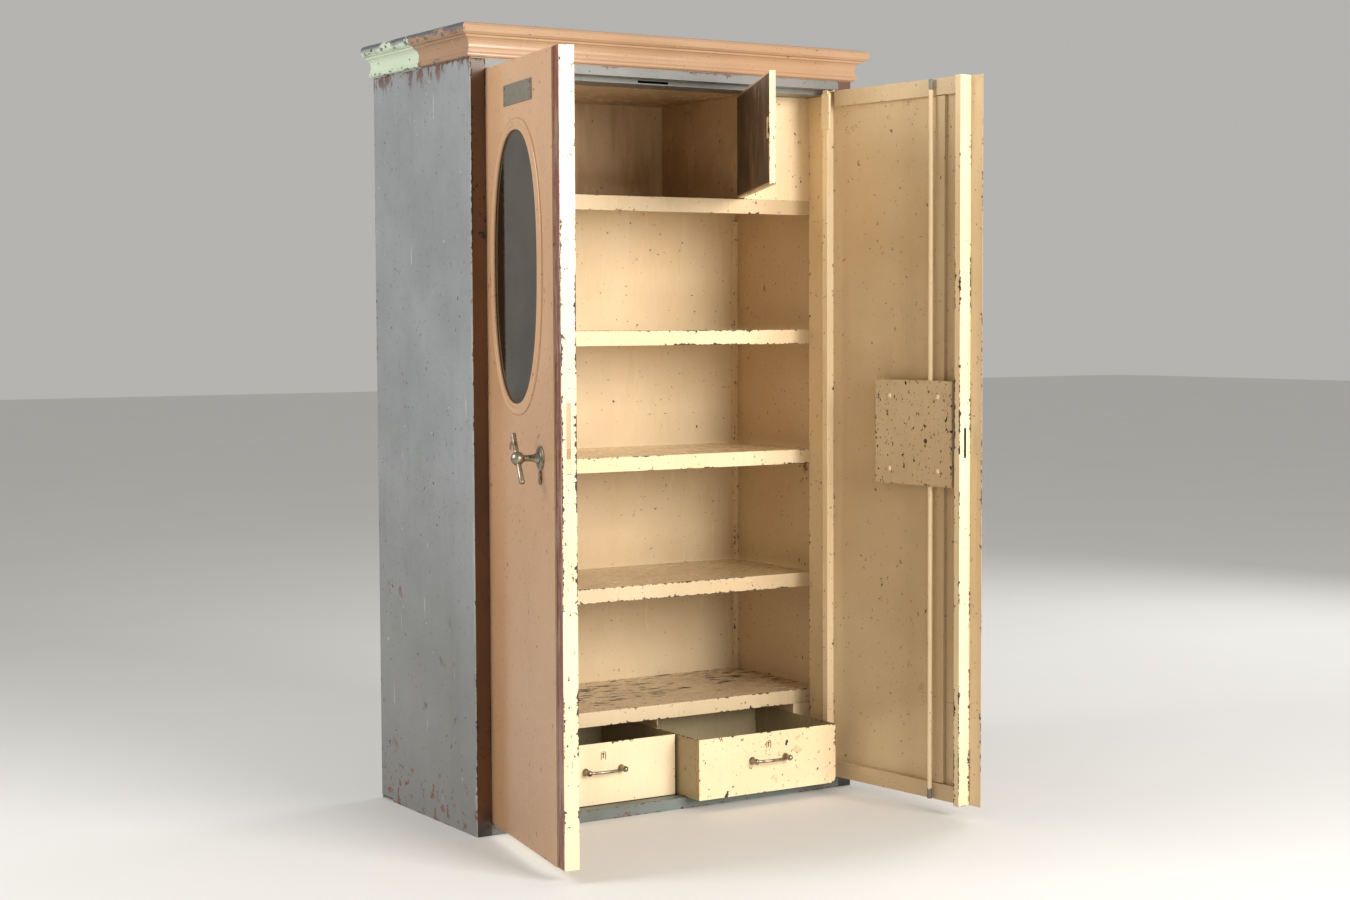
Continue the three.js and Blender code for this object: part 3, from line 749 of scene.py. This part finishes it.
# ------------------------------------------------------------------ every CAD node's own look
# The kind of paint and the wear that a node gets; the rest get OTHER_PAINT.
SIDE_WEAR = dict(specks=1.2, edges=1.3, scratches=0.5, rust=0.9, wear_low=0.35, extra=side_zones)
OTHER_PAINT = ("cream", dict(specks=0.8, edges=0.9))
PAINT = {
    "side_panel_left": ("grey", SIDE_WEAR),
    "side_panel_right": ("grey", SIDE_WEAR),
    "back_panel": ("cream", dict(specks=0.5, edges=0.5, scratches=0.25, extra=back_zones)),
    "top_panel": ("grey", dict(specks=1.0, edges=1.0, rust=1.0)),
    "bottom_panel": ("cream", dict(specks=1.0, edges=1.0, rust=0.8)),
    # The posts' fronts are tan darkened to brown as painted shade.
    "front_post_left": ("shaded_tan", dict(specks=1.8, edges=2.0, extra=post_zones)),
    "front_post_right": ("shaded_tan", dict(specks=1.2, edges=1.2, extra=post_zones)),
    "header_rail": ("header", dict(specks=1.6, edges=2.0, rust=0.6, everywhere=0.5)),
    "threshold_rail": ("threshold", dict(specks=1.6, edges=1.4, scratches=1.0, rust=1.0)),
    "cornice_left": ("cornice", dict(specks=1.3, edges=1.9, rust=0.6, extra=cornice_left_zones)),
    "cornice_front": ("cornice", dict(specks=0.9, edges=1.2)),
    "cornice_right": ("cornice", dict(specks=0.8, edges=1.0)),

    # The locker's walls and ceiling are darker: partly painted shade under the header, partly dirtier paint.
    "locker_ceiling": ("dim", dict(specks=0.8, edges=0.6)),
    "locker_wall_left": ("dim", dict(specks=0.8, edges=0.6)),
    "locker_wall_right": ("dim", dict(specks=0.8, edges=0.6)),
    # The locker floor, lower shelf and drawer deck get cream darkened as painted shade.
    "locker_floor": ("shaded_cream", dict(specks=0.8, edges=1.3)),
    "shelf_upper": ("cream", dict(specks=0.6, edges=1.6)),
    "shelf_middle": ("cream", dict(specks=0.9, edges=1.7, scratches=0.7)),
    "shelf_lower": ("shaded_cream", dict(specks=0.9, edges=1.7, scratches=0.7)),
    "drawer_deck": ("shaded_cream", dict(specks=1.2, edges=1.2, scratches=1.0, extra=scuffed_top)),
    "drawer_left": ("cream", dict(specks=0.9, edges=1.2, extra=drawer_zones("drawer_left"))),
    "drawer_right": ("cream", dict(specks=1.1, edges=1.3, extra=drawer_zones("drawer_right"))),

    "left_door_skin": ("tan", dict(specks=0.25, edges=1.1, scratches=0.2, rust=0.9,
                                   extra=left_skin_zones)),
    "left_door_lock_stile": ("cream", dict(specks=1.3, edges=2.2, everywhere=0.5,
                                           extra=darker_upwards)),
    "mirror_frame": ("tan", dict(specks=0.3, edges=0.3)),
    "right_door_skin": ("tan", dict(specks=0.6, edges=1.1, scratches=0.8, rust=0.2,
                                    extra=right_skin_zones)),
    "right_door_lock_stile": ("cream", dict(specks=1.2, edges=1.8)),
    # The right door's inner channel, rails and lock cover get cream darkened as painted shade.
    "right_door_channel": ("shaded_cream", dict(specks=0.5, edges=0.3)),
    "right_door_top_rail": ("shaded_cream", dict(specks=0.4, edges=0.4)),
    "right_door_bottom_rail": ("shaded_cream", dict(specks=0.6, edges=0.4)),
    "lock_cover": ("shaded_cream", dict(specks=1.9, edges=1.8, scratches=1.2, everywhere=0.85)),
    "upper_rod": ("cream", dict(specks=0.8, edges=0.0, extra=steel_tips)),
    "lower_rod": ("cream", dict(specks=0.8, edges=0.0, extra=steel_tips)),
}


def painted(node, kind=None, **wear):
    """A node's enamel, from the table above unless another kind and wear are given."""
    if kind is None:
        kind, wear = PAINT.get(node, OTHER_PAINT)
    low, high = local_box(node)
    seed = (sum(map(ord, node)) % 97) / 7.0
    return enamel(f"paint_{node}", kind, place_of(node), low, high, seed=seed, **wear)


def dress(node, material, width=0.4 * MM):
    obj = NODES[node]
    obj.data.materials.clear()
    obj.data.materials.append(material)
    soften(obj, width)


def dress_cad_nodes():
    metals = {}
    for node in sorted(NODES):
        slot = SLOT_OF[node]
        place = place_of(node)
        if node == "nameplate":
            dress(node, metal("nameplate_zinc", srgb(150, 144, 132), srgb(142, 135, 122), place,
                              rough=0.55, pits=0.0, dulled=0.03))
        elif node == "latch_bolt":
            dress(node, metal("latch_steel", srgb(46, 42, 40), srgb(30, 27, 25), place,
                              rough=0.5, pits=0.5))
        elif slot in METALS:
            key = (slot, place.body)
            if key not in metals:
                metals[key] = metal(f"{slot}_{place.body}", *METALS[slot], place,
                                    seed=len(metals) * 1.7)
            dress(node, metals[key], 0.3 * MM)
        elif slot == "mirror_silvering":
            dress(node, old_mirror("old_mirror", place, *local_box(node)), 0.5 * MM)
        elif slot == "worn_dark_paint":
            dress(node, scraped_liner("scraped_liner", place, *local_box(node)))
        else:
            dress(node, painted(node))


# ------------------------------------------------------------------ finer pieces for the CAD's simple ones
NICKEL = {place.body: metal(f"aged_nickel_{place.body}", *METALS["aged_nickel"], place, seed=2.0 + i)
          for i, place in enumerate((CARCASS, LEFT, RIGHT))}
OUTWARD = Vector((0, -1, 0))
INWARD = Vector((0, 1, 0))


def fine_t_handle(side):
    """Neck, ball and cross bar with rounded ends, and the spindle and cam inside the door."""
    place = LEFT if side == "left" else RIGHT
    node = f"{side}_t_handle"
    u = HANDLE_U[side]
    on_face = door_point(place, u, 0, HANDLE_Z)
    ball_out = 52
    neck_profile = [(6.3, 0), (6.3, 12.4), (8, 12.2), (11, 10.4), (16, 8.4), (24, 7.0), (32, 6.9), (38, 7.6)]
    neck_profile += arc(ball_out, 15.2, 150, 0, 18)
    neck = lathe("neck", neck_profile, on_face, OUTWARD)

    slant = math.radians(HANDLE_TILT)
    across = (door_point(place, u + 1, 0, HANDLE_Z) - on_face).normalized()
    direction = across * math.sin(slant) - Vector((0, 0, 1)) * math.cos(slant)
    half = 60
    bar_profile = [(0, 0), (0, 4.6), (0.8, 5.6), (2.2, 6), (30, 5.6), (half, 5.4)]
    bar_profile += [(2 * half - along, radius) for along, radius in bar_profile[-2::-1]]
    bar_start = door_point(place, u, -ball_out, HANDLE_Z) - direction * (half * MM)
    cross_bar = lathe("cross_bar", bar_profile, bar_start, direction)

    spindle_profile = [(-31, 0), (-31, 4.2), (-30, 5), (7, 5), (7, 0)]
    spindle = lathe("spindle", spindle_profile, on_face, OUTWARD)
    cam = CAM_RADIUS[side]
    crank = lathe("crank", [(-21, 0), (-21, cam), (-17, cam), (-17, 0)], on_face, OUTWARD)
    build(f"fine_{node}", join_meshes(node, [neck, cross_bar, spindle, crank]), place,
          NICKEL[place.body], body=BODY_OF[node], smooth=40, replaces=(node,))


def fine_rosette(side):
    """The turned ring under a T-handle."""
    place = LEFT if side == "left" else RIGHT
    node = f"{side}_handle_rosette"
    profile = [(0.4, 5.9), (0.4, 26), (2.2, 25.8), (3.4, 24), (4.0, 19), (5.9, 16), (6.0, 13),
               (5.2, 12.6), (5.2, 5.9), (0.4, 5.9)]
    ring = lathe("ring", profile, door_point(place, HANDLE_U[side], 0, HANDLE_Z), OUTWARD, 56)
    build(f"fine_{node}", ring, place, NICKEL[place.body], body=BODY_OF[node],
          smooth=30, replaces=(node,))


def fine_mirror_frame():
    """The pressed ring round the mirror: an inner roll, a hollow and a lower outer roll."""
    # Each point: millimetres out from the glass's edge, and inwards from the door's face.
    section = [(0, -0.35), (0, -3.6), (0.8, -4.6), (2.4, -5), (5, -4.9), (7.4, -4.1), (9.4, -3.0),
               (12, -2.5), (15, -2.9), (17.5, -3.7), (20.5, -4), (23.4, -3.4), (25.4, -2), (26, -0.35)]
    count = 144
    bend = 2 / MIRROR["power"]
    points, faces = [], []
    for i in range(count):
        a = 2 * math.pi * i / count
        x = math.copysign(abs(math.cos(a)) ** bend, math.cos(a))
        z = math.copysign(abs(math.sin(a)) ** bend, math.sin(a))
        for out, deep in section:
            centre = door_point(LEFT, MIRROR["u"], deep, MIRROR["z"])
            offset = Vector(((MIRROR["half_width"] + out) * x, 0, (MIRROR["half_height"] + out) * z))
            points.append(centre + offset * MM)
    size = len(section)
    for i in range(count):
        j = (i + 1) % count
        for k in range(size):
            m = (k + 1) % size
            faces.append((i * size + k, i * size + m, j * size + m, j * size + k))
    build("fine_mirror_frame", mesh_from("mirror_frame", points, faces), LEFT,
          painted("mirror_frame"), smooth=45, replaces=("mirror_frame",))


def fine_drawer_pull(side):
    """A bowed bar between two turned bosses."""
    node = f"drawer_handle_{side}"
    place = Place(BODY_OF[node])
    centre = centre_of(node)
    back = local_box(node)[1].y
    reach = 50 * MM
    steps = 24
    path = []
    for i in range(steps + 1):
        t = i / steps
        bow = 20 * MM + 8 * MM * math.sin(math.pi * t)
        path.append((centre.x - reach + 2 * reach * t, back - bow, centre.z))
    meshes = [tube("bow", path, 3.6 * MM)]
    profile = [(0, 0), (0, 9), (2, 9), (4, 7.4), (9, 5), (14, 5)] + arc(20, 7.5, 138, 0, 10)
    for x in (centre.x - reach, centre.x + reach):
        meshes.append(lathe("boss", profile, (x, back, centre.z), OUTWARD, 28))
    build(f"fine_{node}", join_meshes(node, meshes), place, NICKEL["carcass"],
          body=BODY_OF[node], smooth=40, replaces=(node,))


def keyhole_ring(side):
    """A small arch of wire round each drawer's keyhole."""
    node = f"drawer_{side}"
    low, high = local_box(node)
    x = (low.x + high.x) / 2
    y = low.y - 0.8 * MM
    z = high.z - 27 * MM
    radius = 6 * MM
    leg = 14 * MM
    steps = 10
    path = [(x - radius, y, z - leg)]
    for i in range(steps + 1):
        a = math.pi * i / steps
        path.append((x - radius * math.cos(a), y, z + radius * math.sin(a)))
    path.append((x + radius, y, z - leg))
    build(f"keyhole_ring_{side}", tube("keyhole_ring", path, 0.9 * MM, 10), Place(BODY_OF[node]),
          NICKEL["carcass"], body=BODY_OF[node])


def pan_mesh(name, low, high):
    """An open-backed box between two corners, with rounded folds, open at its low y."""
    shell = bmesh.new()
    bmesh.ops.create_cube(shell, size=1)
    bmesh.ops.scale(shell, vec=high - low, verts=shell.verts)
    bmesh.ops.translate(shell, vec=(low + high) / 2, verts=shell.verts)
    front = [e for e in shell.edges if all(v.co.y > low.y + MM for v in e.verts)]
    upright = [e for e in shell.edges if abs(e.verts[0].co.y - e.verts[1].co.y) > MM]
    bmesh.ops.bevel(shell, geom=front + upright, offset=3.2 * MM, segments=4, affect="EDGES", profile=0.5)
    back = [f for f in shell.faces if all(v.co.y < low.y + 0.01 * MM for v in f.verts)]
    bmesh.ops.delete(shell, geom=back, context="FACES_ONLY")
    mesh = bpy.data.meshes.new(name)
    shell.to_mesh(mesh)
    shell.free()
    return mesh


def lock_cover_openings():
    """Tools for the rods' holes, the spindle's hole and the bolt's slot, in the shared frame."""
    rods = lathe("rods_hole", [(-900, 0), (-900, 6.9), (900, 6.9), (900, 0)], centre_of("upper_rod"),
                 (0, 0, 1), 24)
    spindle = lathe("spindle_hole", [(-45, 0), (-45, 6.2), (-20, 6.2), (-20, 0)],
                    door_point(RIGHT, HANDLE_U["right"], 0, HANDLE_Z), OUTWARD, 32)
    bolt = centre_of("latch_bolt")
    reach = Vector((50, 4, 33)) * MM
    slot = mesh_box("slot", bolt - reach, bolt + reach)
    for tool in (rods, spindle, slot):
        tool.transform(RIGHT.to_shared)
    return rods, spindle, slot


def fine_lock_cover():
    """The square pan over the lock works, with rounded folds and dome rivets."""
    node = "lock_cover"
    low, high = local_box(node)
    rivet_height = 3 * MM
    face = Vector((high.x, high.y - rivet_height, high.z))
    cover = build("fine_lock_cover", pan_mesh(node, low, face), RIGHT, painted(node),
                  replaces=(node,))
    wall = cover.modifiers.new("sheet", "SOLIDIFY")
    wall.thickness = 1.2 * MM
    wall.offset = -1
    carve(cover, *lock_cover_openings())
    cover.modifiers.new("flat faces first", "WEIGHTED_NORMAL").keep_sharp = True

    dome = [(0, 0), (0, 6.5), (0.8, 6.3), (1.9, 4.8), (2.7, 2.6), (2.95, 0)]
    rivets = [lathe("rivet", dome, door_point(RIGHT, u, LOCK_COVER_Y, z), INWARD, 24)
              for u, z in LOCK_COVER_RIVETS]
    build("lock_cover_rivets", join_meshes("rivets", rivets), RIGHT,
          painted(node, "cream", specks=1.0, edges=0.0))


def nameplate_rivets():
    """A small round head near each corner of the blank plate."""
    low, high = local_box("nameplate")
    inset = 7 * MM
    dome = [(0, 0), (0, 3.2), (0.5, 2.9), (1.1, 1.6), (1.3, 0)]
    heads = [lathe("head", dome, (x, low.y, z), OUTWARD, 20)
             for x in (low.x + inset, high.x - inset) for z in (low.z + inset, high.z - inset)]
    build("nameplate_rivets", join_meshes("nameplate_rivets", heads), LEFT, NICKEL[LEFT.body])


def weld_marks():
    """Shallow domes where the right door's rails are spot-welded to its skin."""
    dome = [(0, 0), (0, 4), (0.35, 3), (0.5, 0)]
    marks = [lathe("weld", dome, door_point(RIGHT, u, RAIL_INNER_Y, z), INWARD, 16)
             for u in (70, 130, 190, 250, 310, 352, 418) for z in (DOOR_BOTTOM + 20, DOOR_TOP - 20)]
    # The marks are painted in cream darkened as painted shade, like the rails.
    build("right_door_weld_marks", join_meshes("weld_marks", marks), RIGHT,
          painted("right_door_top_rail", "shaded_cream", specks=0.5, edges=0.0))


# ------------------------------------------------------------------ stage, light and camera
def add_floor():
    half = 30
    corners = [(-half, -half, 0), (half, -half, 0), (half, half, 0), (-half, half, 0)]
    floor = bpy.data.objects.new("floor", mesh_from("floor", corners, [(0, 1, 2, 3)]))
    bpy.context.scene.collection.objects.link(floor)
    g = Graph("pale_floor")
    at = g.node("ShaderNodeTexCoord").outputs["Object"]
    tone = g.mix(g.noise(at, 1.2, 3.0), srgb(230, 229, 226), srgb(225, 224, 221))
    floor.data.materials.append(g.finish(Base_Color=tone, Roughness=0.75))
    floor.location.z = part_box("side_panel_left")[0].z


def add_light(name, at, towards, size, power, colour):
    data = bpy.data.lights.new(name, "AREA")
    data.shape = "SQUARE"
    data.size = size
    data.energy = power
    data.color = colour
    light = bpy.data.objects.new(name, data)
    bpy.context.scene.collection.objects.link(light)
    light.location = at
    light.rotation_euler = (Vector(towards) - Vector(at)).to_track_quat("-Z", "Y").to_euler()


def add_lights():
    world = bpy.data.worlds.new("studio")
    world.use_nodes = True
    background = world.node_tree.nodes["Background"]
    background.inputs["Color"].default_value = (1.0, 0.985, 0.955, 1.0)
    background.inputs["Strength"].default_value = 0.46
    bpy.context.scene.world = world
    bpy.context.scene.view_settings.view_transform = "Standard"
    add_light("key", (0.9, -5.6, 2.2), (0.1, 0, 1.0), 2.6, 365, (1.0, 0.985, 0.96))
    add_light("fill", (-3.6, 0.2, 2.6), (-0.5, 0, 1.6), 1.6, 80, (1.0, 0.99, 0.97))
    add_light("rim", (4.6, 1.2, 2.6), (0.5, 0.2, 1.0), 2.0, 60, (1.0, 0.99, 0.97))


def add_camera():
    data = bpy.data.cameras.new("camera")
    data.sensor_width = 36
    data.lens = CAMERA["lens"]
    camera = bpy.data.objects.new("camera", data)
    bpy.context.scene.collection.objects.link(camera)
    turn = (Matrix.Rotation(math.radians(-CAMERA["yaw"]), 4, "Z")
            @ Matrix.Rotation(math.radians(90 + CAMERA["pitch"]), 4, "X")
            @ Matrix.Rotation(math.radians(CAMERA["roll"]), 4, "Z"))
    camera.matrix_world = Matrix.Translation(Vector(CAMERA["at"])) @ turn
    bpy.context.scene.camera = camera


add_camera()
add_floor()
add_lights()
dress_cad_nodes()
for side in ("left", "right"):
    fine_t_handle(side)
    fine_rosette(side)
    fine_drawer_pull(side)
    keyhole_ring(side)
fine_mirror_frame()
fine_lock_cover()
nameplate_rivets()
weld_marks()
